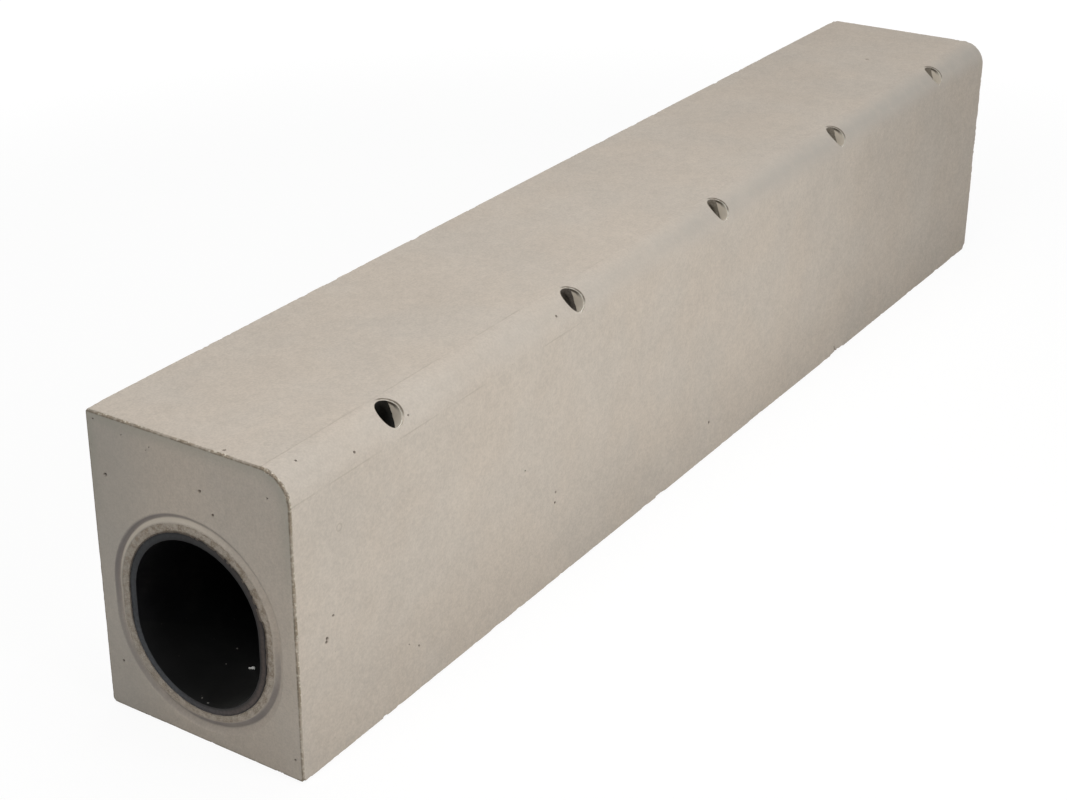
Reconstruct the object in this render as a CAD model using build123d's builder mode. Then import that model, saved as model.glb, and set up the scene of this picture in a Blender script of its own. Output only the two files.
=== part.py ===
# Drainage kerb stone: a concrete kerb block with an oval, plastic-lined channel along
# its length, and slanted inlets that let water in over its rounded road edge.
#
# Frame: X along the kerb, -Y the road side, +Z up. Origin at the middle of the
# underside. All sizes in millimetres.

from build123d import *
from math import cos, radians, sin
import os

# Kerb block
length = 1000.0
width = 150.0
height = 200.0
road_edge_radius = 20.0
back_foot_radius = 4.0
arris = 1.0

# Oval channel, bounded by the outside of its liner
channel_width = 102.6
channel_height = 118.0
channel_centre_height = 80.5
liner_wall = 4.6
liner_end_setback = 0.5

# Seal groove around the channel in each end face
seal_land = 6.0
seal_groove_width = 6.5
seal_groove_depth = 2.5

# Inlets through the road edge
inlet_count = 5
inlet_pitch = 200.0
inlet_bore = 19.5
inlet_slope = 50.0
sleeve_wall = 1.75
sleeve_setback = 9.2
sleeve_end_slope = 26.0


def rising(slope):
    """Direction across the kerb towards the road, rising by this many degrees."""
    return Vector(0, -cos(radians(slope)), sin(radians(slope)))


# The inlets' axes pass through the centre of the road edge's arc.
edge_centre = Vector(0, road_edge_radius - width / 2, height - road_edge_radius)
inlet_direction = rising(inlet_slope)
first_inlet = -inlet_pitch * (inlet_count - 1) / 2
inlet_places = [first_inlet + inlet_pitch * i for i in range(inlet_count)]

# Distances along an inlet's axis, from the centre of the road edge's arc
sleeve_end = road_edge_radius - sleeve_setback
sleeve_diameter = inlet_bore + 2 * sleeve_wall
channel_middle = Vector(0, 0, channel_centre_height)
inlet_root = (channel_middle - edge_centre).dot(inlet_direction)

end_face = length / 2
channel_plane = Plane.YZ.offset(-end_face)
liner_plane = Plane.YZ.offset(liner_end_setback - end_face)
liner_length = length - 2 * liner_end_setback


def inlet_planes(distance, facing=inlet_direction):
    """One plane on each inlet's axis, this far out from the arc's centre."""
    centre = edge_centre + inlet_direction * distance
    return [
        Plane(origin=(x, centre.Y, centre.Z), x_dir=(1, 0, 0), z_dir=facing)
        for x in inlet_places
    ]


def channel_outline(grow=0.0):
    """The channel's upright oval, grown evenly on all sides."""
    with Locations((0, channel_centre_height)):
        SlotOverall(channel_height + 2 * grow, channel_width + 2 * grow, rotation=90)


# Outside of the liner's sleeves. Each is cut off nearer to upright than square,
# so that its end stays below the rounded edge.
with BuildPart() as sleeve_outside:
    with BuildSketch(*inlet_planes(inlet_root)):
        Circle(sleeve_diameter / 2)
    extrude(amount=sleeve_end + sleeve_diameter - inlet_root)
    with BuildSketch(*inlet_planes(sleeve_end, rising(sleeve_end_slope))):
        Rectangle(2 * sleeve_diameter, 3 * sleeve_diameter)
    extrude(amount=2 * sleeve_diameter, mode=Mode.SUBTRACT)

# Concrete block
# The seal groove is a shallow round-bottomed channel swept around the oval.
groove_radius = (seal_groove_width**2 / 4 + seal_groove_depth**2) / (2 * seal_groove_depth)
groove_rise = groove_radius - seal_groove_depth
groove_line = seal_land + seal_groove_width / 2

with BuildPart() as kerb_block:
    with BuildSketch(channel_plane) as section:
        with Locations((0, height / 2)):
            Rectangle(width, height)
        corners = section.vertices().group_by(Axis.Y)
        underside = corners[0].sort_by(Axis.X)
        top = corners[-1].sort_by(Axis.X)
        fillet(top[0], radius=road_edge_radius)
        fillet(underside[-1], radius=back_foot_radius)
        chamfer([underside[0], top[-1]], length=arris)
    extrude(amount=length)
    ends = faces().filter_by(Axis.X)
    chamfer(ends.edges(), length=arris)

    # Seat of the liner, open at both ends
    with BuildSketch(channel_plane):
        channel_outline()
    extrude(amount=length, mode=Mode.SUBTRACT)

    # Seal grooves
    for side in (-1, 1):
        groove_plane = Plane.YZ.offset(side * (end_face + groove_rise))
        with BuildSketch(groove_plane, mode=Mode.PRIVATE) as groove_path:
            channel_outline(groove_line)
        path = groove_path.sketch.faces()[0].outer_wire()
        start = path.position_at(0)
        with BuildSketch(Plane(origin=start, z_dir=path.tangent_at(0))):
            Circle(groove_radius)
        sweep(path=path, mode=Mode.SUBTRACT)

    # Inlets: the seat of the liner's sleeve, and the mouth above it
    add(sleeve_outside.part, mode=Mode.SUBTRACT)
    with BuildSketch(*inlet_planes(0)):
        Circle(inlet_bore / 2)
    extrude(amount=2 * road_edge_radius, mode=Mode.SUBTRACT)

kerb_block.part.label = "kerb_block"

# Plastic liner: an oval pipe with a sleeve rising to each inlet
with BuildPart() as channel_liner:
    with BuildSketch(liner_plane):
        channel_outline()
    extrude(amount=liner_length)
    add(sleeve_outside.part)

    # Bores of the pipe and of the sleeves
    with BuildSketch(channel_plane):
        channel_outline(-liner_wall)
    extrude(amount=length, mode=Mode.SUBTRACT)
    with BuildSketch(*inlet_planes(inlet_root)):
        Circle(inlet_bore / 2)
    extrude(amount=sleeve_end + sleeve_diameter - inlet_root, mode=Mode.SUBTRACT)

channel_liner.part.label = "channel_liner"

os.makedirs("parts", exist_ok=True)
export_step(kerb_block.part, "parts/kerb_block.step")
export_step(channel_liner.part, "parts/channel_liner.step")
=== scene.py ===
"""Looks of the drainage kerb stone: its concrete with worn arrises, chips and blow
holes, its black liner, and the grit in the channel. Sizes are in millimetres in the
part's own frame, and go to Blender in metres."""

from functools import cached_property
from math import cos, radians, sin

import bpy
import numpy as np
from mathutils import Matrix, Vector
from mathutils.geometry import delaunay_2d_cdt


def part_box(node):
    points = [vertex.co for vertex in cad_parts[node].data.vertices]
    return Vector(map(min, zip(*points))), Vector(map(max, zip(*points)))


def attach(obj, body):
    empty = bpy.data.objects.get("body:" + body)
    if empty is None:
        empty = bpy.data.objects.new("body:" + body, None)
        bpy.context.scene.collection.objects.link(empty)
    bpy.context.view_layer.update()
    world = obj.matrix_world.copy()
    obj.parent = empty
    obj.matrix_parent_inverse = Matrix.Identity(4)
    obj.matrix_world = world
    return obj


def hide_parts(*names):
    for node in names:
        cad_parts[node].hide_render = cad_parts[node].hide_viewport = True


MM = 0.001
X, Y, Z = np.eye(3)

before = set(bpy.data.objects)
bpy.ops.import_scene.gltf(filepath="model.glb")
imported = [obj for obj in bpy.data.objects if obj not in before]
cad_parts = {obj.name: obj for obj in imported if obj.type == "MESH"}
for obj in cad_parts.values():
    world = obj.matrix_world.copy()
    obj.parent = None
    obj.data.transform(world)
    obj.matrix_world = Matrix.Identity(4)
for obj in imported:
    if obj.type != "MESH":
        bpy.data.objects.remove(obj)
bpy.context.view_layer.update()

# The block, as it was cast, and its liner
LOW, HIGH = (np.array(corner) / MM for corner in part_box("kerb_block"))
ARRIS = 1.0
BACK_FOOT_RADIUS = 4.0
EDGE_RADIUS = 20.0
EDGE_CENTRE = np.array([0.0, LOW[1] + EDGE_RADIUS, HIGH[2] - EDGE_RADIUS])
CHANNEL_CENTRE = 80.5
CHANNEL_RADIUS = 51.3
CHANNEL_STRAIGHT = 7.7
SEAL_LAND = 6.0
SEAL_GROOVE = 6.5
SEAL_DEPTH = 2.5

# The inlets. A sleeve of the liner is cut off on a slope, and its end has worn: it lies
# this far out in the middle, and further out the higher up, on a curve.
SLEEVE_END = 10.8
SLEEVE_END_SLOPE = radians(26.0)
WORN_END, WORN_SLOPE, WORN_CURVE = 12.3, 0.64, 0.05
INLET_RADIUS = 9.75
RIM_RADIUS = 8.6
RIM_BAND = 1.15
MOUTH_STRETCH = 1.1
INLET_SLOPE = radians(50.0)
INLET_AXIS = np.array([0.0, -cos(INLET_SLOPE), sin(INLET_SLOPE)])
INLET_UPWARD = np.cross(INLET_AXIS, X)
INLET_PLACES = [-400.0, -200.0, 0.0, 200.0, 400.0]

# Meshing: corners round an inlet, its rings out from the rim and rows down its mouth, and
# how far out from the rim the cells of the skin begin
INLET_CORNERS = 96
RIM_RINGS = (0.0, 0.22, 0.45, 0.7, 0.95, 1.2, 1.5, 1.8, 2.2)
MOUTH_ROWS = (0.0, 0.04, 0.1, 0.18, 0.3, 0.45, 0.6, 0.8, 1.0)
RIM_CLEAR = 2.9

# Meshing: rings of an end face out from the channel, closest in the seal groove, how far
# from the channel and from the outline its cells begin, and places along the kerb where
# the liner's seat has corners
OVAL_SPACING = 1.1
END_RINGS = (0.0, 0.5, 1.1, 1.9, 2.9, 3.6, 4.2, 4.8, 5.4, 6.0, 6.3, 6.9, 7.6, 8.35, 9.1)
END_RINGS += (9.4, 10.2, 11.1, 11.9, 12.4, 12.6, 13.1)
CHANNEL_CLEAR = 14.0
OUTLINE_CLEAR = 1.6
SEAT_ROWS = (500.0, 455.0, -455.0, -480.0, -499.4, -500.0)

# Meshing: cells of the block's skin start at this size and are halved down to this one,
# and an edge sharper than this angle is shaded as one
COARSEST_CELL = 16.0
FINEST_CELL = 0.5
SHARP_ANGLE = radians(38.0)

# Three points on the edge of the paler lower wall in the near mouth
PALE_WALL_POINTS = ((-491.4, 45.7, 63.1), (-454.1, 36.2, 43.2), (-423.6, 18.2, 29.7))

# Marks of the casting and of handling: (place, radius)
BLOW_HOLES = [
    ((-500.0, -9.8, 171.4), 1.15),
    ((-500.0, -18.5, 158.9), 0.9),
    ((-500.0, 63.0, 160.5), 1.3),
    ((-500.0, 68.6, 195.0), 0.6),
    ((-500.0, -59.1, 182.0), 0.65),
    ((-500.0, 62.2, 34.0), 0.9),
    ((-500.0, -69.2, 14.3), 0.9),
    ((-500.0, 47.5, 190.4), 0.5),
    ((-500.0, 29.0, 186.0), 0.5),
    ((-500.0, 26.5, 188.5), 0.45),
    ((-473.3, -75.0, 84.1), 1.25),
    ((-473.9, -75.0, 82.0), 1.1),
    ((-385.6, -75.0, 32.1), 0.8),
    ((-395.6, -75.0, 38.4), 0.55),
    ((-466.9, -75.0, 96.2), 0.8),
    ((-230.8, -75.0, 60.5), 1.0),
    ((-230.0, -75.0, 68.0), 0.8),
    ((-267.3, -75.0, 100.3), 0.8),
    ((-13.7, -75.0, 29.2), 1.3),
    ((-225.0, -70.7, 192.3), 1.0),
    ((-439.9, -73.2, 188.3), 0.9),
    ((-479.8, -63.8, 197.9), 0.8),
    ((-388.0, -72.5, 189.7), 0.7),
    ((-494.8, -25.8, 200.0), 1.1),
    ((395.5, -5.6, 200.0), 1.7),
    ((209.6, -75.0, 7.0), 0.9),
    ((210.6, -75.0, 5.2), 1.0),
    ((211.8, -75.0, 3.2), 1.1),
]

# Grit in the channel: corners round a crumb, the tilts of its rings, and for each crumb
# (place on the liner, half sizes along X, Y and Z)
GRAIN_CORNERS = 14
GRAIN_TILTS = (-86.0, -60.0, -30.0, 0.0, 30.0, 60.0, 86.0)
GRIT = [
    ((-454.1, 0.0, 26.3), (1.1, 1.7, 0.8)),
    ((-455.4, 1.5, 26.3), (0.7, 0.8, 0.6)),
    ((-447.3, 18.2, 29.9), (0.6, 0.6, 0.4)),
    ((-497.1, -1.8, 26.2), (0.5, 0.7, 0.4)),
    ((-495.3, 4.4, 26.4), (0.5, 0.4, 0.3)),
    ((-462.3, 14.2, 28.4), (0.4, 0.4, 0.3)),
]

# Chips out of the arrises: (place, radii along X, Y and Z)
CHIPS = [
    ((-85.5, -75.0, 0.0), (8.0, 2.0, 1.9)),
    ((-171.0, -75.0, 0.0), (4.0, 1.4, 1.2)),
    ((-212.0, -75.0, 0.0), (3.0, 1.4, 1.2)),
    ((-421.0, -75.0, 0.0), (4.0, 1.9, 1.8)),
    ((60.0, -75.0, 0.0), (5.0, 1.5, 1.3)),
    ((215.0, -75.0, 0.0), (15.0, 2.6, 2.4)),
    ((430.0, -75.0, 0.0), (6.0, 1.8, 1.6)),
    ((-500.0, 45.6, 0.0), (1.4, 5.0, 1.2)),
    ((-500.0, 30.3, 0.0), (1.3, 4.0, 1.1)),
    ((-500.0, -5.4, 0.0), (1.4, 5.0, 1.3)),
    ((-500.0, -57.3, 0.0), (1.5, 4.0, 1.4)),
    ((-500.0, -75.0, 0.0), (2.6, 2.6, 3.0)),
    ((-500.0, -75.0, 97.0), (1.8, 1.7, 2.6)),
    ((-500.0, -75.0, 125.0), (1.7, 1.6, 5.0)),
    ((-500.0, -73.5, 188.0), (2.0, 2.0, 3.0)),
    ((-500.0, -70.0, 193.5), (2.0, 2.4, 2.4)),
    ((-500.0, -61.5, 199.0), (2.2, 3.6, 1.8)),
    ((-500.0, 5.0, 200.0), (1.8, 2.6, 1.5)),
    ((-500.0, 41.0, 200.0), (1.8, 3.2, 1.4)),
    ((-500.0, 75.0, 200.0), (2.0, 2.2, 2.2)),
    ((500.0, 75.0, 200.0), (4.0, 4.0, 3.0)),
    ((500.0, -75.0, 0.0), (5.0, 4.0, 5.0)),
    ((500.0, 20.0, 0.0), (2.5, 9.0, 3.0)),
    ((500.0, -75.0, 92.0), (2.0, 2.2, 6.0)),
    ((-180.0, 75.0, 200.0), (6.0, 1.8, 1.5)),
    ((260.0, 75.0, 200.0), (5.0, 1.8, 1.4)),
    ((120.0, 75.0, 0.0), (12.0, 3.0, 4.0)),
]


# Noise and smooth steps
def smooth(t):
    """Smooth step from 0 to 1 as t goes from 0 to 1."""
    t = np.clip(t, 0.0, 1.0)
    return t * t * (3.0 - 2.0 * t)


def lattice(cells, seed):
    """A fixed pseudo-random number from 0 to 1 for each whole-numbered cell."""
    cells = cells.astype(np.int64).astype(np.uint64)
    mixed = cells[:, 0] * np.uint64(73856093)
    mixed ^= cells[:, 1] * np.uint64(19349663)
    mixed ^= cells[:, 2] * np.uint64(83492791)
    mixed ^= np.uint64(seed * 2654435761)
    for shift in (15, 13, 16):
        mixed ^= mixed >> np.uint64(shift)
        mixed *= np.uint64(2246822519)
        mixed &= np.uint64(0xFFFFFFFF)
    return mixed.astype(float) / 0xFFFFFFFF


def noise(points, size, seed):
    """Smooth noise from 0 to 1 with bumps of about this size in millimetres."""
    scaled = points / size + 1000.0
    base = np.floor(scaled)
    blend = smooth(scaled - base)
    total = np.zeros(len(points))
    for corner in np.ndindex(2, 2, 2):
        corner = np.array(corner)
        weight = np.prod(np.where(corner, blend, 1.0 - blend), axis=1)
        total += weight * lattice(base + corner, seed)
    return total


# Meshing
def welded(points, triangles):
    """Joins corners that lie within a hundredth of a millimetre."""
    keys = np.round(points * 100.0).astype(int)
    _, first, where = np.unique(keys, axis=0, return_index=True, return_inverse=True)
    triangles = where.reshape(-1)[triangles]
    a, b, c = triangles.T
    return points[first], triangles[(a != b) & (b != c) & (c != a)]


def graded_points(low, high, placed, wanted):
    """Corners of square cells, each halved until it is as small as wanted there."""
    size = COARSEST_CELL
    cells = np.array(np.meshgrid(*(np.arange(a, b, size) for a, b in zip(low, high))))
    cells = cells.reshape(2, -1).T
    corners = []
    while len(cells):
        large = (wanted(placed(cells + size / 2.0)) < size) & (size > FINEST_CELL)
        kept = cells[~large]
        for step in np.ndindex(2, 2):
            corners.append(kept + np.array(step) * size)
        size /= 2.0
        quarters = [np.array(step) * size for step in np.ndindex(2, 2)]
        cells = np.vstack([cells[large] + quarter for quarter in quarters])
    corners = np.unique(np.vstack(corners), axis=0)
    return corners[(corners >= low).all(axis=1) & (corners <= high).all(axis=1)]


def sheet_triangles(flat):
    """Delaunay triangles of points in a plane, anticlockwise."""
    rows = [Vector(point) for point in flat.tolist()]
    _, _, faces, origin = delaunay_2d_cdt(rows, [], [], 0, 1e-6)[:4]
    first = np.array([sources[0] for sources in origin])
    return first[np.array(faces)]


def linked(name, data):
    """A new object in the scene, of this mesh, camera or light."""
    thing = bpy.data.objects.new(name, data)
    bpy.context.scene.collection.objects.link(thing)
    return thing


def add_mesh(name, points, triangles, material, marks):
    """A piece on the part's one body, with a number per corner for each mark."""
    mesh = bpy.data.meshes.new(name)
    mesh.from_pydata((points * MM).tolist(), [], triangles.tolist())
    for mark, values in marks.items():
        layer = mesh.attributes.new(mark, "FLOAT", "POINT")
        layer.data.foreach_set("value", values)
    mesh.shade_smooth()
    mesh.set_sharp_from_angle(angle=SHARP_ANGLE)
    mesh.materials.append(material)
    piece = linked(name, mesh)
    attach(piece, "root")
    return piece


# Where a point lies on the block
def section_depth(points):
    """Depth inside the block's section, and the direction further in."""
    y, z = points[:, 1], points[:, 2]
    depths = np.stack([y - LOW[1], HIGH[1] - y, HIGH[2] - z, z - LOW[2]])
    inward = np.array([Y, -Y, -Z, Z])
    nearest = np.argmin(depths, axis=0)
    depth = depths[nearest, np.arange(len(points))]
    direction = inward[nearest]
    spoke = (points - EDGE_CENTRE) * (Y + Z)
    reach = np.linalg.norm(spoke, axis=1)
    rounded = (y < EDGE_CENTRE[1]) & (z > EDGE_CENTRE[2]) & (reach > 1.0)
    depth = np.where(rounded, EDGE_RADIUS - reach, depth)
    radial = -spoke / np.maximum(reach, 1e-6)[:, None]
    direction = np.where(rounded[:, None], radial, direction)
    return depth, direction


def channel_distance(points):
    """Distance outside the channel's oval, seen along the kerb."""
    z = points[:, 2] - CHANNEL_CENTRE
    z = z - np.clip(z, -CHANNEL_STRAIGHT, CHANNEL_STRAIGHT)
    return np.hypot(points[:, 1], z) - CHANNEL_RADIUS


def inlet_frame(points, place):
    """Distances along an inlet and out from its axis, and the direction out. The mouth
    is taller than wide, so distances up across it count for less."""
    offset = points - EDGE_CENTRE - X * place
    along = offset @ INLET_AXIS
    side, across = offset @ X, offset @ INLET_UPWARD / MOUTH_STRETCH
    reach = np.hypot(side, across)
    spoke = side[:, None] * X + across[:, None] * INLET_UPWARD
    return along, reach, spoke / np.maximum(reach, 1e-6)[:, None]


def distance_to_end(points):
    """Distance along the kerb from the nearer end."""
    return np.minimum(points[:, 0] - LOW[0], HIGH[0] - points[:, 0])


# Arrises along the kerb: (y, z, spacing wanted there)
ARRISES = ((-75.0, 0.0, 1.0), (75.0, 200.0, 1.0), (75.0, 0.0, 2.0))


def block_detail(points):
    """The spacing wanted between corners at each place on the block's skin. It grows with
    the distance from what has to be fine: arrises, inlets and blow holes."""
    y, z = points[:, 1], points[:, 2]
    depth, _ = section_depth(points)
    to_end = distance_to_end(points)
    away = np.maximum(np.abs(depth), np.abs(to_end))
    wanted = 1.0 + 0.45 * np.maximum(away - 2.0, 0.0)
    for arris_y, arris_z, finest in ARRISES:
        away = np.hypot(y - arris_y, z - arris_z)
        wanted = np.minimum(wanted, finest + 0.45 * np.maximum(away - 3.0, 0.0))
    rounded = (y < EDGE_CENTRE[1] + 2.0) & (z > EDGE_CENTRE[2] - 2.0)
    wanted = np.where(rounded | (to_end < 1.5), np.minimum(wanted, 4.0), wanted)
    for place in INLET_PLACES:
        along, reach, _ = inlet_frame(points, place)
        rim = np.where(along > 8.0, reach - RIM_RADIUS, 100.0)
        wanted = np.minimum(wanted, 1.0 + 0.35 * np.maximum(rim - 3.0, 0.0))
    for place, radius in BLOW_HOLES:
        away = np.linalg.norm(points - place, axis=1)
        wanted = np.minimum(wanted, 0.5 + 0.5 * np.maximum(away - 2.0 * radius, 0.0))
    return wanted


def rounded_corner(centre, radius, start, end, first, last):
    """Outline rows (u, y, z, inward y, inward z) round an arc, angles in degrees."""
    share = np.linspace(0.0, 1.0, 8 * int(last - first) + 1)
    angle = np.radians(start + (end - start) * share)
    out = np.stack([np.cos(angle), np.sin(angle)], axis=1)
    rows = np.array(centre) + radius * out
    return np.column_stack([first + (last - first) * share, rows, -out])


# Outline of the section, from the middle of the underside towards the road and round:
# rows (u, y, z, inward y, inward z), where u grows with the distance along the outline.
EDGE_START = 255.0
EDGE_SPAN = 32.0
OUTLINE_END = 688.0
OUTLINE = np.vstack([
    [(0.0, 0.0, 0.0, 0.0, 1.0), (74.0, -74.0, 0.0, 0.0, 1.0), (76.0, -75.0, 1.0, 1.0, 0.0)],
    rounded_corner((-55.0, 180.0), EDGE_RADIUS, 180.0, 90.0, EDGE_START, EDGE_START + EDGE_SPAN),
    [(416.0, 74.0, 200.0, 0.0, -1.0), (418.0, 75.0, 199.0, -1.0, 0.0)],
    rounded_corner((71.0, 4.0), BACK_FOOT_RADIUS, 0.0, -90.0, 613.0, 619.0),
    [(OUTLINE_END, 0.0, 0.0, 0.0, 1.0)],
])


def on_outline(u, inset):
    """Points (y, z) of the outline, moved in by the inset."""
    columns = OUTLINE[:, 1:].T
    y, z, inward_y, inward_z = (np.interp(u, OUTLINE[:, 0], column) for column in columns)
    return np.stack([y + inset * inward_y, z + inset * inward_z], axis=1)


def on_skin(flat):
    """Unrolled skin (u, x) to points of the block, with its ends chamfered."""
    x = flat[:, 1]
    inset = np.maximum(ARRIS - (HIGH[0] - np.abs(x)), 0.0)
    return np.column_stack([x, on_outline(flat[:, 0], inset)])


def on_near_end(flat):
    """Places (y, z) on the near end face to points of the block."""
    return np.insert(flat, 0, LOW[0], axis=1)


def oval(distance):
    """The channel's oval at this distance outside it."""
    radius = CHANNEL_RADIUS + distance
    angle = np.linspace(0.0, np.pi, int(np.pi * radius / OVAL_SPACING) + 1)
    count = int(2.0 * CHANNEL_STRAIGHT / OVAL_SPACING) + 1
    side = np.linspace(CHANNEL_STRAIGHT, -CHANNEL_STRAIGHT, count)
    cap = np.stack([radius * np.cos(angle), CHANNEL_STRAIGHT + radius * np.sin(angle)], axis=1)
    flank = np.stack([np.full(len(side), -radius), side], axis=1)[1:-1]
    half = np.vstack([cap, flank])
    return np.vstack([half, -half]) + (0.0, CHANNEL_CENTRE)


def around_inlet():
    """The corners' turns round an inlet."""
    return np.linspace(0.0, 2.0 * np.pi, INLET_CORNERS, endpoint=False)


def inlet_ring(place, radius, turn):
    """Places (u, x) on the rounded edge around an inlet."""
    across = MOUTH_STRETCH * radius * np.sin(turn)
    tilt = np.degrees(INLET_SLOPE + np.arcsin(across / EDGE_RADIUS))
    u = EDGE_START + EDGE_SPAN * tilt / 90.0
    return np.stack([u, place + radius * np.cos(turn)], axis=1)


def block_skin():
    """The outside of the block between its ends, with holes where the inlets are."""
    corners = graded_points((0.0, LOW[0]), (OUTLINE_END, HIGH[0]), on_skin, block_detail)
    every = np.arange(0.0, OUTLINE_END + 1.0)
    for end in (LOW[0], HIGH[0]):
        corners = corners[corners[:, 1] != end]
        corners = np.vstack([corners, np.column_stack([every, np.full(len(every), end)])])
    turn = around_inlet()
    for place in INLET_PLACES:
        along, reach, _ = inlet_frame(on_skin(corners), place)
        corners = corners[(along < 0.0) | (reach > RIM_RADIUS + RIM_CLEAR)]
        for step, out in enumerate(RIM_RINGS):
            ring = inlet_ring(place, RIM_RADIUS + out, turn + step * np.pi / INLET_CORNERS)
            corners = np.vstack([corners, ring])
    triangles = sheet_triangles(corners)
    middles = on_skin(corners[triangles].mean(axis=1))
    kept = np.ones(len(triangles), bool)
    for place in INLET_PLACES:
        along, reach, _ = inlet_frame(middles, place)
        kept &= (along < 0.0) | (reach > RIM_RADIUS + 0.01)
    return on_skin(corners), triangles[kept][:, ::-1]


def block_end():
    """The near end face around the channel, before its groove is sunk."""
    outer = on_outline(np.arange(0.0, OUTLINE_END), ARRIS)
    corners = graded_points(LOW[1:], HIGH[1:], on_near_end, block_detail)
    spots = on_near_end(corners)
    depth, _ = section_depth(spots)
    corners = corners[(depth > OUTLINE_CLEAR) & (channel_distance(spots) > CHANNEL_CLEAR)]
    corners = np.vstack([outer, corners] + [oval(distance) for distance in END_RINGS])
    # Corners that all but coincide become one.
    _, first = np.unique(np.round(corners * 50.0), axis=0, return_index=True)
    corners = corners[first]
    triangles = sheet_triangles(corners)
    middles = on_near_end(corners[triangles].mean(axis=1))
    triangles = triangles[channel_distance(middles) > 0.0]
    return on_near_end(corners), triangles[:, ::-1]


def inlet_wall(place, turn, radius, along):
    """Points on an inlet's wall, at this turn, radius and distance out."""
    spokes = np.cos(turn)[:, None] * X + MOUTH_STRETCH * np.sin(turn)[:, None] * INLET_UPWARD
    return EDGE_CENTRE + X * place + radius * spokes + along[:, None] * INLET_AXIS


def edge_height(across):
    """How far out the rounded edge lies, this far up across an inlet before stretching."""
    return np.sqrt(np.maximum(EDGE_RADIUS**2 - (MOUTH_STRETCH * across) ** 2, 0.0))


def sleeve_end(place, turn):
    """How far out the worn end of a liner's sleeve lies."""
    across = RIM_RADIUS * np.sin(turn)
    ring = np.stack([np.cos(turn), np.sin(turn), 0.0 * turn], axis=1) * RIM_RADIUS
    ragged = 0.6 * (noise(ring, 1.6, int(place) + 1000) - 0.5)
    worn = WORN_END + WORN_SLOPE * across + WORN_CURVE * across**2 + ragged
    return np.minimum(worn, edge_height(across) - 0.4)


def inlet_mouth(place):
    """The concrete wall of an inlet, from its rim down to the liner's sleeve."""
    turn = around_inlet()
    top = edge_height(RIM_RADIUS * np.sin(turn))
    foot = sleeve_end(place, turn)
    rows = []
    for share in MOUTH_ROWS:
        rows.append(inlet_wall(place, turn, RIM_RADIUS, top + (foot - top) * share))
    return ruled(rows)


def sleeve_collar(place):
    """The worn end of the liner's sleeve, inside the concrete of an inlet."""
    turn = around_inlet()
    # Its faces stay a hair clear of the concrete's.
    inside, outside = RIM_RADIUS - 0.05, INLET_RADIUS - 0.03
    end = sleeve_end(place, turn) + 0.12
    outer_end = np.minimum(end, edge_height(outside * np.sin(turn)) - 1.7)
    cut = SLEEVE_END + INLET_RADIUS * np.sin(turn) * np.tan(INLET_SLOPE - SLEEVE_END_SLOPE)
    foot = np.minimum(cut, end) - 1.5
    rows = []
    for radius, along in ((outside, foot), (outside, outer_end), (inside, end), (inside, foot)):
        rows.append(inlet_wall(place, turn, radius, along))
    rows.append(rows[0])
    return ruled(rows)


def grain(place, sizes, seed):
    """A crumb of concrete: a rough, flattened ball."""
    turn = np.linspace(0.0, 2.0 * np.pi, GRAIN_CORNERS, endpoint=False)
    rows = []
    for tilt in np.radians(GRAIN_TILTS):
        ball = np.stack([np.cos(turn) * np.cos(tilt), np.sin(turn) * np.cos(tilt)], axis=1)
        ball = np.column_stack([ball, np.full(len(turn), np.sin(tilt))])
        rough = 0.65 + 0.7 * noise(ball * 10.0, 7.0, seed)
        rows.append(np.array(place) + ball * rough[:, None] * np.array(sizes))
    corners, triangles = ruled(rows)
    fan = np.arange(1, len(turn) - 1)
    top = len(corners) - len(turn) + np.stack([0 * fan, fan, fan + 1], axis=1)
    bottom = np.stack([fan + 1, fan, 0 * fan], axis=1)
    return corners, np.vstack([triangles, bottom, top])


def joined(pieces):
    """Several meshes as one."""
    starts = np.cumsum([0] + [len(corners) for corners, _ in pieces])
    triangles = np.vstack([faces + start for (_, faces), start in zip(pieces, starts)])
    return welded(np.vstack([corners for corners, _ in pieces]), triangles)


def ruled(rows):
    """Closed rings of corners joined one to the next. The faces point away from the
    middle where the rings turn anticlockwise about the way they are stacked."""
    count = len(rows[0])
    here = np.arange(count)
    after = (here + 1) % count
    triangles = []
    for row in range(len(rows) - 1):
        a, b = here + row * count, after + row * count
        c, d = b + count, a + count
        triangles += [np.stack([a, b, c], axis=1), np.stack([a, c, d], axis=1)]
    return np.vstack(rows), np.vstack(triangles)


def cast_block():
    """The whole block, its corners and its triangles."""
    end_corners, end_triangles = block_end()
    far_end = (end_corners * (-1.0, 1.0, 1.0), end_triangles[:, ::-1])
    seat = ruled([np.insert(oval(0.0), 0, x, axis=1) for x in SEAT_ROWS])
    mouths = [inlet_mouth(place) for place in INLET_PLACES]
    return joined([block_skin(), (end_corners, end_triangles), far_end, seat] + mouths)


def bitten(points, place, radii, inward, seed):
    """Moves what lies in a rough ellipsoid inward to its far side."""
    radii = np.array(radii)
    ragged = 0.72 + 0.5 * noise(points, 0.35 * radii.mean(), seed)
    inside = (points - place) / radii
    step = inward / radii
    speed = step @ step
    along = inside @ step / speed
    room = (ragged**2 - (inside**2).sum(axis=1)) / speed
    travel = -along + np.sqrt(np.maximum(along**2 + room, 0.0))
    travel = np.where(room > 0.0, travel, 0.0)
    return points + travel[:, None] * inward, smooth(travel / 0.8)


# Marks on the block's corners for its material, each from 0 to 1
MARKS = ["worn", "pit", "land", "crevice_shade", "shaded", "groove_highlight", "arris_shade", "halo"]
MARKS += ["rim", "rim_shade", "mouth", "under"]


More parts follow.
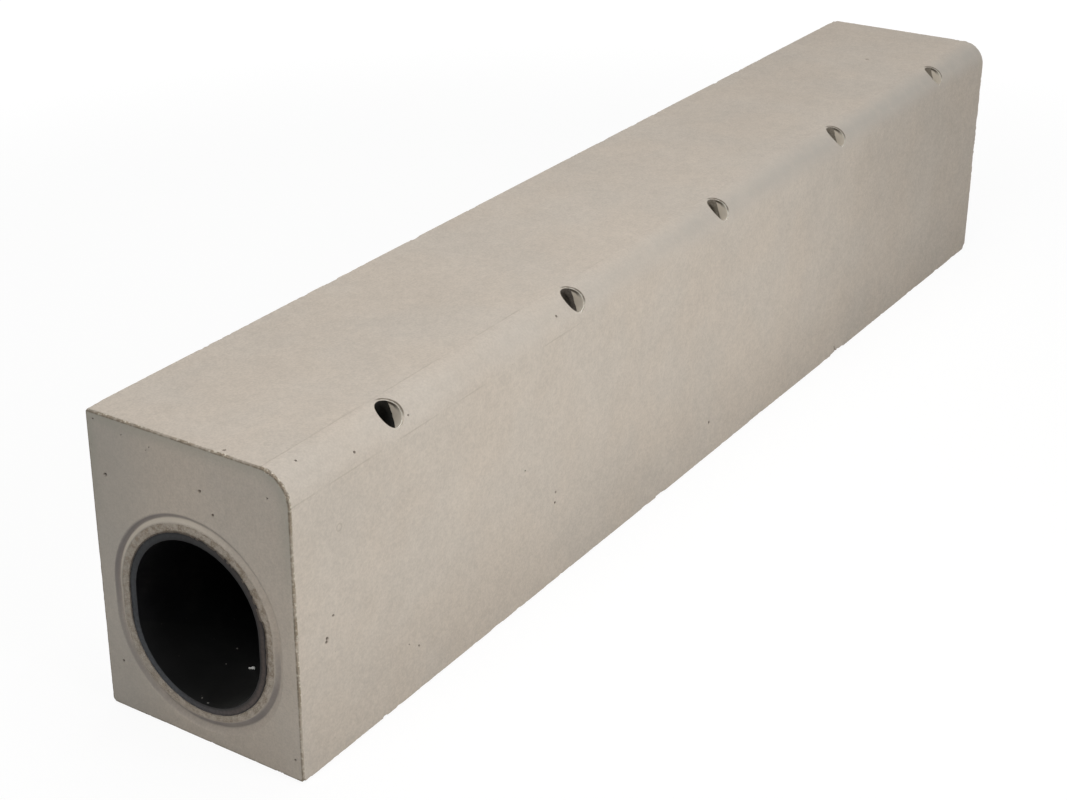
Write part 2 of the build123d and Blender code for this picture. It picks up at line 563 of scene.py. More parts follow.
class Weathered:
    """The block's corners as they were cast, where wear moves them, and their marks."""

    def __init__(self, cast):
        self.cast = cast
        self.points = cast
        self.marks = {name: np.zeros(len(cast)) for name in MARKS}
        self.x, self.y, self.z = cast.T
        self.at_end = np.abs(np.abs(self.x) - HIGH[0]) < 0.01
        self.to_end = distance_to_end(cast)
        self.from_channel = channel_distance(cast)
        out = (cast - Z * CHANNEL_CENTRE) * (Y + Z)
        self.out = out / np.maximum(np.linalg.norm(out, axis=1), 1e-6)[:, None]
        self.depth, self.inward = section_depth(cast)
        self.end_inward = -np.sign(self.x)[:, None] * X
        nearer_end = (self.to_end < self.depth + 1.0)[:, None]
        self.into_face = np.where(nearer_end, self.end_inward, self.inward)

    def facing(self, y, z):
        """How well each corner's way out from the channel's middle agrees with (y, z)."""
        return self.out @ np.array([0.0, y, z])

    def lap_seat(self):
        """Stands the seat off the liner on the road side, and laps its lip over above."""
        z = self.z
        wander = noise(self.cast, 9.0, 90) - 0.5
        gap = 0.4 * smooth((100.5 - z) / 1.6) * smooth((z - 34.0) / 16.0)
        gap = gap * smooth((-455.0 - self.x) / 40.0)
        lip = (1.4 + 1.2 * wander) * smooth((z - 100.0) / 1.6) * smooth((152.0 - z) / 30.0)
        lip = lip * smooth((-499.45 - self.x) / 0.4)
        near_lip = smooth(1.0 - self.from_channel / 5.0) * (self.y < 0.0)
        self.points = self.points + ((gap - lip) * near_lip)[:, None] * self.out

    def sink_groove(self):
        """Sinks the seal groove and roughens the land that it leaves round the channel."""
        out_y, out_z = self.out[:, 1], self.out[:, 2]
        lower = smooth(-0.1 - out_z) * smooth(0.8 - 1.2 * out_y)
        top = smooth(1.6 * out_z - 0.4)
        shore = SEAL_LAND - 1.8 * lower
        outer_shore = SEAL_LAND + SEAL_GROOVE - 0.4 * top
        deepest = SEAL_LAND + SEAL_GROOVE / 2.0 - 0.9 * lower - 0.3 * top
        inner_side = (self.from_channel - shore) / (deepest - shore)
        outer_side = (outer_shore - self.from_channel) / (outer_shore - deepest)
        slope = np.clip(np.minimum(inner_side, outer_side), 0.0, 1.0)
        sunk = 0.96 * SEAL_DEPTH * self.at_end * slope**0.75
        in_groove = smooth(sunk / 0.8)
        outer_slope = smooth((self.from_channel - deepest) / 0.6 + 0.5)

        # Painted shade: its outer slope is dark towards the back and above, its inner one at the
        # foot.
        shaded = smooth(0.75 + self.facing(0.55, 0.35)) * (1.0 - 0.2 * slope) * outer_slope
        foot_shade = smooth(1.5 * self.facing(-0.5, -0.85) - 0.35)
        foot_shade = foot_shade * (0.55 + 0.4 * noise(self.cast, 11.0, 92))
        shaded = shaded * (1.0 - 0.4 * smooth(1.6 * self.facing(0.5, -0.8) - 0.2))
        shaded = shaded * (1.0 - 0.45 * smooth(1.6 * self.facing(-0.8, 0.5) - 0.2))
        shaded = shaded * (0.8 + 0.3 * noise(self.cast, 16.0, 93))
        shaded = in_groove * np.maximum(shaded, foot_shade * (1.0 - outer_slope))
        self.marks["shaded"] = shaded
        # Painted highlight on the inner slope towards the top
        groove_highlight = in_groove * (1.0 - outer_slope) * smooth(1.4 * out_z)
        self.marks["groove_highlight"] = groove_highlight * smooth(0.9 + 1.3 * out_y)

        # The land, and painted shade in the crevice between it and the liner
        upper = smooth(0.45 + self.facing(-0.45, 0.65))
        land = self.at_end * smooth((shore + 0.4 - self.from_channel) / 1.0)
        land = land * (0.75 + 0.25 * upper)
        self.marks["land"] = land
        sunk = sunk + 0.4 * land * smooth((noise(self.cast, 1.7, 91) - 0.35) / 0.4)
        self.points = self.points - (sunk * np.sign(self.x))[:, None] * X
        above_liner = smooth(1.5 * self.facing(-0.6, 0.5))
        crevice_shade = smooth(1.6 - self.from_channel / (0.75 + 0.6 * above_liner))
        self.marks["crevice_shade"] = self.at_end * crevice_shade * (0.2 + 0.8 * smooth(0.9 + out_z))

    def wear_end_arrises(self):
        """Wears the arrises round each end, most of all on the road side."""
        near = np.maximum(np.maximum(self.depth, self.to_end), 0.0)
        grainy = noise(self.cast, 1.7, 1) * 0.6 + noise(self.cast, 4.0, 2) * 0.4
        patchy = smooth((noise(self.cast, 14.0, 3) - 0.3) / 0.4)
        exposed = 0.2 + 0.8 * smooth((-30.0 - self.y) / 30.0) * smooth((self.z - 30.0) / 60.0)
        loss = 0.1 + 0.95 * exposed * patchy * smooth((grainy - 0.42) / 0.25)
        moved = loss * smooth(1.0 - near / 2.4)
        self.points = self.points + moved[:, None] * (self.inward + self.end_inward) * 0.7
        worn = smooth((1.8 - near) / 0.9) * (0.45 + 0.55 * patchy)
        worn = worn * smooth((self.to_end + 0.6) / 0.8)
        self.marks["worn"] = worn * (0.55 + 0.45 * exposed)
        # Painted shade just inside the end arrises
        self.marks["arris_shade"] = self.at_end * smooth((2.1 - self.depth) / 1.0)
        halo = self.at_end * smooth((12.0 - self.depth) / 11.0)
        self.marks["halo"] = halo * smooth((self.z - 110.0) / 60.0)

    def wear_long_arrises(self):
        """Wears the arrises along the kerb."""
        road, back = self.y - LOW[1], HIGH[1] - self.y
        under, over = self.z - LOW[2], HIGH[2] - self.z
        arrises = ((road, under, Y + Z, 0.5), (back, over, -Y - Z, 0.5), (back, under, Z - Y, 0.6))
        for seed, (one, other, direction, amount) in enumerate(arrises):
            near = np.maximum(np.maximum(one, other), 0.0)
            rough = noise(self.cast, 2.6, 11 + seed) * 0.5 + noise(self.cast, 12.0, 21 + seed) * 0.5
            loss = amount * (0.1 + 1.3 * smooth((rough - 0.5) / 0.3))
            moved = loss * smooth(1.0 - near / 2.6)
            self.points = self.points + moved[:, None] * direction * 0.7
            self.mark("worn", 0.5 * smooth((2.0 - near) / 1.0))

    def chip(self):
        """Breaks the chips out, towards the middle of the block's section and length."""
        for seed, (place, radii) in enumerate(CHIPS):
            from_middle = np.array(place) - (LOW + HIGH) / 2.0
            far_out = np.abs(from_middle) > 0.45 * (HIGH - LOW)
            heading = np.where(far_out, -np.sign(from_middle), 0.0)
            heading = heading / np.linalg.norm(heading)
            self.points, bare = bitten(self.points, place, radii, heading, 40 + seed)
            self.mark("worn", 0.8 * bare)

    def sink_rims(self):
        """Sinks a band round each inlet's mouth and leaves a thin raised lip within it."""
        wide = RIM_RADIUS + RIM_BAND + 0.4 * (noise(self.cast, 3.0, 70) - 0.5)
        for place in INLET_PLACES:
            along, reach, spoke = inlet_frame(self.cast, place)
            outside = smooth((along - 6.0) / 6.0)
            near_side = smooth(0.9 + 1.5 * (spoke @ (-0.95 * X + 0.3 * INLET_UPWARD)))
            band = smooth((wide - reach) / 0.3) * smooth((reach - RIM_RADIUS - 0.3) / 0.25)
            sunk = 0.9 * band + 0.25 * smooth((wide - reach) / 0.3)
            sunk = sunk * (reach > RIM_RADIUS - 0.01) * (1.0 - 0.95 * near_side)
            self.points = self.points - (sunk * outside)[:, None] * INLET_AXIS

            # A painted highlight on the lip, gone on the near side, and painted shade on the step
            # beyond the band on the far one
            below = edge_height(reach * (spoke @ INLET_UPWARD)) - along
            on_edge = (below < 0.05) * outside
            lip = smooth((RIM_RADIUS + 1.0 - reach) / 0.2)
            self.mark("rim", lip * on_edge * (1.0 - near_side))
            far_side = smooth((spoke @ (0.9 * X + 0.43 * INLET_UPWARD) - 0.4) / 0.35)
            step = smooth((reach - wide + 0.35) / 0.2) * smooth((wide + 0.9 - reach) / 0.3)
            self.mark("rim_shade", step * on_edge * far_side)

            # Painted light: pale concrete in the mouth, where the lamps barely reach; and a dark
            # line under its rim
            in_mouth = (reach < RIM_RADIUS + 0.03) * outside
            self.mark("mouth", in_mouth)
            high = smooth(0.55 + 1.3 * (spoke @ INLET_UPWARD))
            line = smooth(below / 0.3) * smooth((2.7 - below) / 0.8)
            self.mark("under", in_mouth * np.maximum(high * line, near_side * (below < 3.0)))
        self.marks["rim"] *= 0.4 + 0.6 * smooth((noise(self.cast, 1.4, 71) - 0.25) / 0.3)

    def pit(self):
        """Opens the blow holes."""
        for place, radius in BLOW_HOLES:
            away = np.linalg.norm(self.cast - place, axis=1)
            hole = smooth((radius - away) / (0.45 * radius))
            self.points = self.points + (1.7 * radius * hole)[:, None] * self.into_face
            # Their hollows are darkened: painted shade
            self.mark("pit", hole)

    def warp(self):
        """The mould's own unevenness, always inwards."""
        wave = noise(self.cast, 90.0, 80) * 0.25 + noise(self.cast, 28.0, 81) * 0.1
        from_face = np.minimum(np.abs(self.depth), np.abs(self.to_end))
        outside = smooth(1.0 - from_face / 3.0)
        self.points = self.points + (wave * outside)[:, None] * self.into_face

    def mark(self, name, values):
        """Raises a mark to these values where they are higher."""
        self.marks[name] = np.maximum(self.marks[name], values)


def weathered(cast):
    """Rounds, erodes, chips and pits the block. Returns its corners and their marks."""
    block = Weathered(cast)
    block.lap_seat()
    block.sink_groove()
    block.wear_end_arrises()
    block.wear_long_arrises()
    block.chip()
    block.sink_rims()
    block.pit()
    block.warp()
    return block.points, block.marks


# Materials
class Graph:
    """The nodes of a material or of the world, and short calls that add to them."""

    def __init__(self, owner, shader):
        self.owner = owner
        owner.use_nodes = True
        self.tree = owner.node_tree
        self.shader = self.tree.nodes[shader]

    @cached_property
    def place(self):
        """The place in the part's frame, in metres."""
        return self.node("ShaderNodeTexCoord").outputs["Object"]

    def node(self, kind, **settings):
        """A new node with these settings."""
        node = self.tree.nodes.new(kind)
        for name, value in settings.items():
            setattr(node, name, value)
        return node

    def set(self, socket, value):
        """Links a socket to another, or gives it a fixed value."""
        if isinstance(value, bpy.types.NodeSocket):
            self.tree.links.new(value, socket)
        else:
            socket.default_value = value

    def axis(self, name):
        """The place along one axis, in metres."""
        node = self.node("ShaderNodeSeparateXYZ")
        self.set(node.inputs[0], self.place)
        return node.outputs[name]

    def mark(self, name):
        """A mark of the block's corners."""
        return self.node("ShaderNodeAttribute", attribute_name=name).outputs["Fac"]

    def noise(self, size, detail=2.0, rough=0.5):
        """Noise with features of about this size in millimetres."""
        node = self.node("ShaderNodeTexNoise")
        self.set(node.inputs["Vector"], self.place)
        node.inputs["Scale"].default_value = 1.0 / (size * MM)
        node.inputs["Detail"].default_value = detail
        node.inputs["Roughness"].default_value = rough
        return node.outputs["Fac"]

    def cells(self, size):
        """Distance to the nearest of scattered points, as a share of the size."""
        node = self.node("ShaderNodeTexVoronoi")
        self.set(node.inputs["Vector"], self.place)
        node.inputs["Scale"].default_value = 1.0 / (size * MM)
        return node.outputs["Distance"]

    def math(self, kind, one, other=0.0):
        """A sum of this kind, of two sockets or numbers."""
        node = self.node("ShaderNodeMath", operation=kind)
        self.set(node.inputs[0], one)
        self.set(node.inputs[1], other)
        return node.outputs["Value"]

    def times(self, one, other):
        """The product of two sockets or numbers."""
        return self.math("MULTIPLY", one, other)

    def vector_math(self, kind, one, *other):
        """A sum of this kind, of a socket and perhaps a fixed vector."""
        node = self.node("ShaderNodeVectorMath", operation=kind)
        self.set(node.inputs[0], one)
        for value in other:
            node.inputs[1].default_value = value
        return node.outputs

    def ramp(self, value, start, end, low=0.0, high=1.0):
        """Smooth change from low to high as the value goes from start to end."""
        node = self.node("ShaderNodeMapRange", interpolation_type="SMOOTHSTEP")
        self.set(node.inputs["Value"], value)
        node.inputs["From Min"].default_value = start
        node.inputs["From Max"].default_value = end
        node.inputs["To Min"].default_value = low
        node.inputs["To Max"].default_value = high
        return node.outputs["Result"]

    def mix(self, amount, one, other):
        """The first colour, mixed with this share of the other."""
        node = self.node("ShaderNodeMix", data_type="RGBA")
        self.set(node.inputs["Factor"], amount)
        for socket, colour in ((node.inputs[6], one), (node.inputs[7], other)):
            self.set(socket, (*colour, 1.0) if isinstance(colour, tuple) else colour)
        return node.outputs[2]

    def shaded(self, colour, amount):
        """The colour times a number."""
        node = self.node("ShaderNodeMix", data_type="RGBA", blend_type="MULTIPLY")
        node.inputs["Factor"].default_value = 1.0
        self.set(node.inputs[6], colour)
        self.set(node.inputs[7], amount)
        return node.outputs[2]

    def painted(self, colour, mark, strength, paint):
        """The colour, painted over where the block has this mark."""
        return self.mix(self.times(self.mark(mark), strength), colour, paint)

    def bump(self, height, depth, normal=None):
        """Relief of this depth in millimetres."""
        node = self.node("ShaderNodeBump")
        node.inputs["Strength"].default_value = 1.0
        node.inputs["Distance"].default_value = depth * MM
        self.set(node.inputs["Height"], height)
        if normal:
            self.set(node.inputs["Normal"], normal)
        return node.outputs["Normal"]

    def side_of(self, points):
        """Distance in metres from the plane through three points in millimetres."""
        a, b, c = (np.array(point) for point in points)
        normal = np.cross(b - a, c - a)
        normal = normal / np.linalg.norm(normal)
        along = self.vector_math("DOT_PRODUCT", self.place, normal)["Value"]
        return self.math("SUBTRACT", along, float(normal @ a) * MM)

    def near(self, place):
        """Distance in metres from a point in millimetres."""
        place = tuple(c * MM for c in place)
        return self.vector_math("DISTANCE", self.place, place)["Value"]

    def from_channel(self):
        """Distance in metres outside the channel's oval."""
        height = self.math("ABSOLUTE", self.math("SUBTRACT", self.axis("Z"), CHANNEL_CENTRE * MM))
        height = self.math("MAXIMUM", self.math("SUBTRACT", height, CHANNEL_STRAIGHT * MM), 0.0)
        across = self.math("POWER", self.math("ABSOLUTE", self.axis("Y")), 2.0)
        reach = self.math("SQRT", self.math("ADD", across, self.math("POWER", height, 2.0)))
        return self.math("SUBTRACT", reach, CHANNEL_RADIUS * MM)

    def line(self, y, z, half_width):
        """1 along a line that runs down the kerb at this Y and Z, 0 away from it."""
        flat = self.vector_math("MULTIPLY", self.place, (0.0, 1.0, 1.0))["Vector"]
        away = self.vector_math("DISTANCE", flat, (0.0, y * MM, z * MM))["Value"]
        return self.ramp(away, 0.0, half_width * MM, 1.0, 0.0)


def material_graph(name):
    """The nodes of a new material."""
    return Graph(bpy.data.materials.new(name), "Principled BSDF")


# Colours of the concrete, of its sand, of its dirt and of painted shade. A pair is a range.
CONCRETE = ((0.562, 0.502, 0.434), (0.573, 0.504, 0.429))
ROUNDED_EDGE = (0.40, 0.372, 0.333)
END_BACK = (0.33, 0.33, 0.31)
END_MARGIN = (0.38, 0.37, 0.315)
VOID = (0.20, 0.165, 0.13)
LAND_SAND = ((0.43, 0.37, 0.29), (0.265, 0.21, 0.155))
ARRIS_SAND = ((0.80, 0.74, 0.61), (0.38, 0.31, 0.225))
ARRIS_SHADE_LINE = (0.21, 0.17, 0.125)
SEAM_LINE = (0.38, 0.33, 0.27)
RING_STAIN = (0.36, 0.31, 0.25)

# What marks paint: (mark, strength, colour), one over the other
# Painted shade on the groove's slopes, and a painted highlight on its upper inner slope
GROOVE_PAINT = (
    ("shaded", 0.9, (0.19, 0.172, 0.175)),
    ("groove_highlight", 0.8, (0.74, 0.67, 0.57)),
)
# Painted shade in the crevice round the liner
CREVICE_SHADE_PAINT = ("crevice_shade", 0.85, (0.06, 0.045, 0.035))
HOLE_PAINT = (
    # Painted light on the walls of the inlets' mouths
    ("mouth", 0.9, (0.86, 0.775, 0.65)),
    ("under", 0.92, (0.06, 0.045, 0.032)),
    # Painted shade on the step round each inlet's rim, and a painted highlight on its lip
    ("rim_shade", 0.9, (0.13, 0.105, 0.075)),
    ("rim", 0.9, (0.93, 0.90, 0.83)),
    # Painted shade in the blow holes
    ("pit", 0.9, (0.05, 0.04, 0.033)),
)

# Clouding of the concrete: (size in millimetres, share of light either way)
CLOUDS = ((120.0, 0.025), (17.0, 0.018), (4.5, 0.03), (1.4, 0.055))

# Dark specks, painted shade in small voids and the colour of dark grains: (spacing in millimetres,
# reach as a share of it, strength)
VOIDS = ((6.5, 0.055, 0.6), (3.4, 0.07, 0.3))

RING_STAIN_PLACE = (-458.5, -75.0, 149.5)


def with_painted_light_and_shade(g, shade, on_end):
    """The light of the concrete, with painted shade near the ground and towards the far end, and
    painted light on the upper road face towards the near end.
    """
    height = g.axis("Z")
    # Painted shade near the ground, less on the end face
    low = g.ramp(height, 0.0, 0.085, 1.0, 0.0)
    low = g.times(low, g.ramp(g.noise(60.0, 3.0), 0.3, 0.7, 0.6, 1.0))
    low = g.times(low, g.math("SUBTRACT", 1.0, g.times(on_end, 0.7)))
    shade = g.math("SUBTRACT", shade, g.times(low, 0.11))
    # Painted shade towards the far end, strongest on the road face
    road = g.ramp(g.axis("Y"), -0.07, -0.0745)
    far = g.times(g.ramp(g.axis("X"), 0.0, 0.42), g.ramp(road, 0.0, 1.0, 0.25, 1.0))
    shade = g.math("SUBTRACT", shade, g.times(far, 0.13))
    # Painted light on the upper road face towards the near end
    front = g.times(road, g.ramp(height, 0.02, 0.12))
    return g.math("ADD", shade, g.times(front, g.ramp(g.axis("X"), 0.1, 0.3, 0.07, 0.0)))


def mould_joints(g):
    """Strength of the mould's joints along both sides of the rounded edge."""
    upper = g.line(EDGE_CENTRE[1], HIGH[2], 0.8)
    lower = g.line(LOW[1], EDGE_CENTRE[2], 0.8)
    near = g.ramp(g.axis("X"), -0.45, -0.38, 0.8, 0.2)
    broken = g.ramp(g.noise(30.0), 0.45, 0.6)
    upper = g.times(upper, g.math("MAXIMUM", near, broken))
    lower = g.times(lower, g.times(broken, 0.8))
    return g.times(g.math("MAXIMUM", upper, lower), g.ramp(g.axis("X"), -0.25, 0.0, 1.0, 0.3))


def concrete():
    """Fair-faced concrete: warm grey, clouded, with fine specks and sandy arrises."""
    g = material_graph("concrete")
    warmth = g.ramp(g.noise(70.0, 3.0, 0.55), 0.35, 0.65)
    colour = g.mix(warmth, *CONCRETE)
    shade = 1.0
    for size, swing in CLOUDS:
        cloud = g.ramp(g.noise(size, rough=0.6), 0.3, 0.7, -swing, swing)
        shade = g.math("ADD", cloud, shade)
    on_end = g.ramp(g.axis("X"), -0.4975, -0.4988)
    colour = g.shaded(colour, with_painted_light_and_shade(g, shade, on_end))

    # The rounded edge is greyer, and darker towards the far end as painted shade.
    edge = g.line(EDGE_CENTRE[1] - 12.0, EDGE_CENTRE[2] + 12.0, 17.0)
    edge = g.times(edge, g.ramp(g.axis("X"), -0.45, 0.3, 0.3, 0.92))
    edge = g.times(edge, g.ramp(g.noise(9.0, 4.0, 0.7), 0.3, 0.6, 0.75, 1.0))
    colour = g.mix(edge, colour, ROUNDED_EDGE)

    # The near end is greyer on the side away from the road and along its upper margin.
    back = g.times(on_end, g.ramp(g.axis("Y"), 0.01, 0.06, 0.0, 0.36))
    colour = g.mix(back, colour, END_BACK)
    colour = g.painted(colour, "halo", 0.5, END_MARGIN)
    for size, reach, strength in VOIDS:
        specks = g.ramp(g.cells(size), 0.4 * reach, reach, 1.0, 0.0)
        specks = g.times(specks, g.ramp(g.noise(2.2 * size), 0.5, 0.62))
        colour = g.mix(g.times(specks, strength), colour, VOID)

    # Seal groove and the land inside it
    for paint in GROOVE_PAINT:
        colour = g.painted(colour, *paint)
    land = g.mark("land")
    sandy = g.mix(g.ramp(g.cells(1.3), 0.1, 0.6), *LAND_SAND)
    patches = g.ramp(g.noise(5.0), 0.35, 0.65, 0.3, 0.85)
    colour = g.mix(g.times(land, patches), colour, sandy)
    colour = g.painted(colour, *CREVICE_SHADE_PAINT)

    # Sandy arrises, with a brown line of painted shade inside those of the ends
    worn = g.mark("worn")
    sand = g.mix(g.ramp(g.cells(2.1), 0.2, 0.5), *ARRIS_SAND)
    bare = g.times(g.ramp(worn, 0.1, 0.7), g.ramp(g.noise(6.0), 0.3, 0.6, 0.4, 0.95))
    colour = g.mix(bare, colour, sand)
    broken = g.ramp(g.noise(2.6), 0.3, 0.6, 0.4, 1.0)
    colour = g.mix(g.times(g.mark("arris_shade"), broken), colour, ARRIS_SHADE_LINE)
    for paint in HOLE_PAINT:
        colour = g.painted(colour, *paint)
    seam = mould_joints(g)
    colour = g.mix(g.times(seam, 0.45), colour, SEAM_LINE)

    # A ring left on the road face near the end
    ring = g.near(RING_STAIN_PLACE)
    ring = g.times(g.ramp(ring, 0.0014, 0.002), g.ramp(ring, 0.0024, 0.003, 1.0, 0.0))
    colour = g.mix(g.times(ring, 0.35), colour, RING_STAIN)
    g.set(g.shader.inputs["Base Color"], colour)
    g.shader.inputs["Roughness"].default_value = 0.86
    g.shader.inputs["Specular IOR Level"].default_value = 0.3

    relief = g.bump(g.noise(0.9, 3.0, 0.65), 0.10)
    relief = g.bump(g.noise(7.0, 4.0, 0.6), 0.22, relief)
    relief = g.bump(seam, 0.15, relief)
    gritty = g.times(g.cells(1.1), g.ramp(g.math("MAXIMUM", worn, land), 0.2, 0.8))
    g.set(g.shader.inputs["Normal"], g.bump(gritty, 0.6, relief))
    return g.owner


# Colours of the liner, and of the dirt on it. A pair is a range.
LINER = ((0.005, 0.005, 0.006), (0.02, 0.019, 0.018))
LINER_PALE_WALL = ((0.011, 0.011, 0.011), (0.034, 0.034, 0.032))
MOUTH_DUST = (0.085, 0.083, 0.078)
CUT_END = ((0.085, 0.062, 0.053), (0.05, 0.055, 0.062))
SLEEVE_DUST = ((0.045, 0.043, 0.038), (0.20, 0.175, 0.15))
FAR_SLEEVE_DUST = (0.36, 0.32, 0.265)
LINER_SPECK = (0.16, 0.15, 0.13)


def cut_end(g, across):
    """Colour of the liner's cut end: paler low down, and darker at its edges with painted shade."""
    tone = g.mix(g.ramp(across, -0.045, 0.03), *CUT_END)
    tone = g.shaded(tone, g.ramp(g.axis("Z"), 0.04, 0.13, 0.95, 0.34))
    tone = g.shaded(tone, g.ramp(g.noise(2.4, 3.0, 0.7), 0.3, 0.7, 0.7, 1.25))
    ring = g.from_channel()
    # Painted shade at the ring's inner edge, and at its outer edge on the road side and high up
    inner_side = g.math("ADD", across, g.times(g.axis("Z"), -0.3))
    inner = g.times(g.ramp(inner_side, 0.02, -0.02, 0.3), g.ramp(ring, -0.0046, -0.0022, 0.9, 0.0))
    outer = g.times(g.ramp(across, 0.0, -0.03), g.ramp(ring, -0.0012, -0.0004, 0.0, 0.7))
    high = g.ramp(g.axis("Z"), 0.03, 0.10)
    high = g.times(high, g.ramp(ring, -0.0014, -0.0004, 0.0, 0.7))
    dark = g.math("MAXIMUM", g.math("MAXIMUM", inner, outer), high)
    return g.shaded(tone, g.math("SUBTRACT", 1.0, dark))


def liner_plastic():
    """Black polyethylene, slightly glossy, dusty where water and grit have lain."""
    g = material_graph("liner_plastic")
    dust = g.ramp(g.noise(14.0, 4.0, 0.6), 0.45, 0.75, 0.2, 0.6)
    colour = g.mix(dust, *LINER)

    # The lower wall behind the near mouth is paler, most of all on the road side
    along, across, height = g.axis("X"), g.axis("Y"), g.axis("Z")
    pale_wall = g.ramp(g.side_of(PALE_WALL_POINTS), -0.0008, 0.0008)
    pale_wall = g.times(pale_wall, g.ramp(along, -0.5, -0.36, 0.8, 0.0))
    colour = g.mix(pale_wall, colour, g.mix(g.ramp(across, 0.03, -0.04), *LINER_PALE_WALL))

    # Dust in the near mouth
    mouth = g.ramp(along, -0.4994, -0.482, 1.0, 0.0)
    mouth = g.times(mouth, g.ramp(height, 0.02, 0.07, 1.0, 0.0))
    mouth = g.times(mouth, g.ramp(across, 0.0, -0.03))
    dust = g.ramp(g.cells(1.3), 0.15, 0.5, 0.9, 0.35)
    colour = g.mix(g.times(mouth, dust), colour, MOUTH_DUST)
    cut = g.ramp(along, -0.49935, -0.49945)
    colour = g.mix(g.times(cut, 0.9), colour, cut_end(g, across))

    # Brown dust in the sleeves, paler from one to the next
    brown = g.mix(g.ramp(along, -0.35, -0.25), *SLEEVE_DUST)
    brown = g.mix(g.ramp(along, -0.15, -0.05), brown, FAR_SLEEVE_DUST)
    brown = g.shaded(brown, g.ramp(g.noise(1.5, 3.0, 0.7), 0.3, 0.7, 0.7, 1.2))
    colour = g.mix(g.ramp(height, 0.15, 0.17, 0.0, 0.9), colour, brown)
    specks = g.ramp(g.cells(9.0), 0.02, 0.05, 1.0, 0.0)
    colour = g.mix(g.times(specks, 0.5), colour, LINER_SPECK)
    g.set(g.shader.inputs["Base Color"], colour)
    g.shader.inputs["Specular IOR Level"].default_value = 0.18
    g.set(g.shader.inputs["Roughness"], g.ramp(g.noise(22.0, 3.0), 0.3, 0.7, 0.35, 0.5))
    g.set(g.shader.inputs["Normal"], g.bump(g.noise(3.0, 3.0), 0.05))
    return g.owner


GRIT_GREY = (0.22, 0.21, 0.19)
GRIT_WHITE = (0.93, 0.92, 0.88)


def pale_grit():
    """Crumbs of concrete: grey, and white for the first of them."""
    g = material_graph("pale_grit")
    white = g.ramp(g.near(GRIT[0][0]), 0.003, 0.006, 1.0, 0.0)
    g.set(g.shader.inputs["Base Color"], g.mix(white, GRIT_GREY, GRIT_WHITE))
    g.shader.inputs["Roughness"].default_value = 0.85
    g.set(g.shader.inputs["Normal"], g.bump(g.noise(0.5, 2.0), 0.1))
    return g.owner


# The block and its liner
corners, faces = cast_block()
corners, marks = weathered(corners)
block = add_mesh("kerb_block_cast", corners, faces, concrete(), marks)
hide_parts("kerb_block")

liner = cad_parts["channel_liner"]
plastic = liner_plastic()
liner.data.materials.clear()
liner.data.materials.append(plastic)
collars = joined([sleeve_collar(place) for place in INLET_PLACES])
sleeve_ends = add_mesh("liner_sleeve_ends", *collars, plastic, {})

crumbs = joined([grain(place, sizes, seed) for seed, (place, sizes) in enumerate(GRIT)])
grit = add_mesh("channel_grit", *crumbs, pale_grit(), {})

# Camera, as the photograph was taken. Its first four values are in pixels of the photo.
PHOTO_WIDTH = 1067.0
FOCAL = 1987.2
PRINCIPAL_POINT = (485.3, 352.1)
PHOTO_CENTRE = (533.5, 400.0)
SENSOR_WIDTH = 36.0
CAMERA_PLACE = (-1213.5, -687.5, 700.5)
CAMERA_HEADING = radians(34.21 - 90.0)
CAMERA_DOWN = radians(24.61)
CAMERA_ROLL = radians(-0.29)

lens = bpy.data.cameras.new("photo_camera")
lens.sensor_fit = "HORIZONTAL"
lens.sensor_width = SENSOR_WIDTH
lens.lens = FOCAL / PHOTO_WIDTH * SENSOR_WIDTH
lens.shift_x = (PHOTO_CENTRE[0] - PRINCIPAL_POINT[0]) / PHOTO_WIDTH
lens.shift_y = (PRINCIPAL_POINT[1] - PHOTO_CENTRE[1]) / PHOTO_WIDTH
camera = linked("photo_camera", lens)
camera.matrix_world = (
    Matrix.Translation(Vector(CAMERA_PLACE) * MM)
    @ Matrix.Rotation(CAMERA_HEADING, 4, "Z")
    @ Matrix.Rotation(radians(90.0) - CAMERA_DOWN, 4, "X")
    @ Matrix.Rotation(CAMERA_ROLL, 4, "Z")
)
bpy.context.scene.camera = camera

# Studio, in metres and watts. The floor shows its shadow as far out as the first of the
# two distances, and none of it from the second on.
WHITE = (1.0, 1.0, 1.0, 1.0)
FLOOR_CORNERS = [(-12.0, -12.0, 0.0), (12.0, -12.0, 0.0), (12.0, 12.0, 0.0), (-12.0, 12.0, 0.0)]
FLOOR_HEIGHT = -0.0002
FLOOR_COLOUR = (0.7, 0.7, 0.69, 1.0)
FLOOR_SHADOW = 0.14
SHADOW_FADES = (0.7, 1.6)
FLOOR_WHITE = 1.06
SKY_LIGHT = 0.12
LIT_POINT = Vector((-0.1, 0.0, 0.1))
SOFT_BOXES = (
    ("road_side", (-0.3, -1.6, 0.9), 1.0, 14.45),
    ("overhead", (0.2, 0.0, 2.4), 1.6, 22.35),
    ("near_end", (-1.6, -0.2, 1.9), 0.9, 13.6),
)


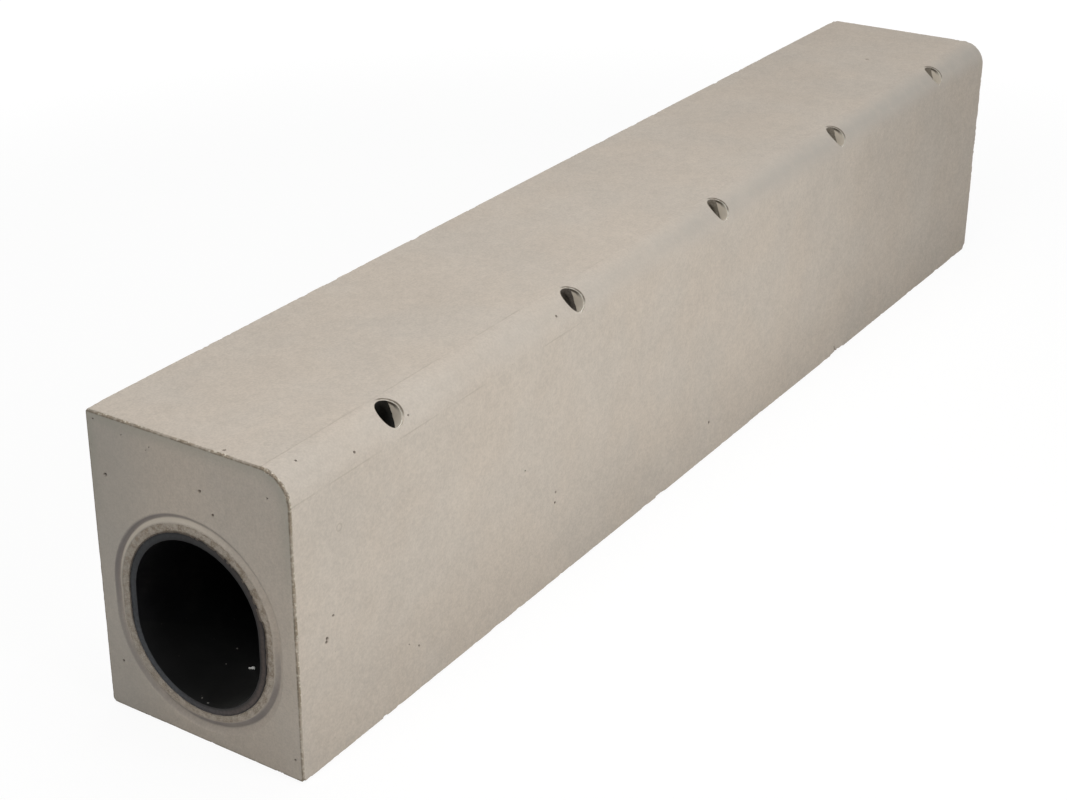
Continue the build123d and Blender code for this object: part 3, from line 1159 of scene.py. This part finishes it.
def soft_box(name, place, size, power):
    """A square area light that faces the part."""
    light = bpy.data.lights.new(name, "AREA")
    light.shape = "RECTANGLE"
    light.size = light.size_y = size
    light.energy = power
    lamp = linked(name, light)
    lamp.location = place
    lamp.rotation_euler = (LIT_POINT - Vector(place)).to_track_quat("-Z", "Y").to_euler()


def seen_white(g, output, white, share):
    """Shows this share of white to the camera and in reflections, and for the rest and
    to all other light the graph's own shader."""
    path = g.node("ShaderNodeLightPath").outputs
    seen = g.math("MAXIMUM", path["Is Camera Ray"], path["Is Glossy Ray"])
    seen = g.math("MAXIMUM", seen, path["Is Transmission Ray"])
    both = g.node("ShaderNodeMixShader")
    g.set(both.inputs["Fac"], g.times(seen, share))
    g.set(both.inputs[1], g.shader.outputs[0])
    g.set(both.inputs[2], white.outputs[0])
    g.set(g.tree.nodes[output].inputs["Surface"], both.outputs[0])


def floor_paint():
    """Pale grey that keeps the shadow near the part and is seen white further out."""
    g = material_graph("floor")
    g.shader.inputs["Base Color"].default_value = FLOOR_COLOUR
    g.shader.inputs["Roughness"].default_value = 0.9
    from_middle = g.vector_math("LENGTH", g.place)["Value"]
    share = g.ramp(from_middle, *SHADOW_FADES, 1.0 - FLOOR_SHADOW, 1.0)
    white = g.node("ShaderNodeEmission")
    white.inputs["Strength"].default_value = FLOOR_WHITE
    seen_white(g, "Material Output", white, share)
    return g.owner


floor_mesh = bpy.data.meshes.new("floor")
floor_mesh.from_pydata(FLOOR_CORNERS, [], [(0, 1, 2, 3)])
floor_mesh.materials.append(floor_paint())
floor = linked("floor", floor_mesh)
floor.location.z = FLOOR_HEIGHT

world = bpy.context.scene.world or bpy.data.worlds.new("studio")
bpy.context.scene.world = world
sky = Graph(world, "Background")
sky.shader.inputs["Color"].default_value = WHITE
sky.shader.inputs["Strength"].default_value = SKY_LIGHT
white_sky = sky.node("ShaderNodeBackground")
white_sky.inputs["Color"].default_value = WHITE
seen_white(sky, "World Output", white_sky, 1.0)

for box in SOFT_BOXES:
    soft_box(*box)
bpy.context.scene.view_settings.view_transform = "Standard"
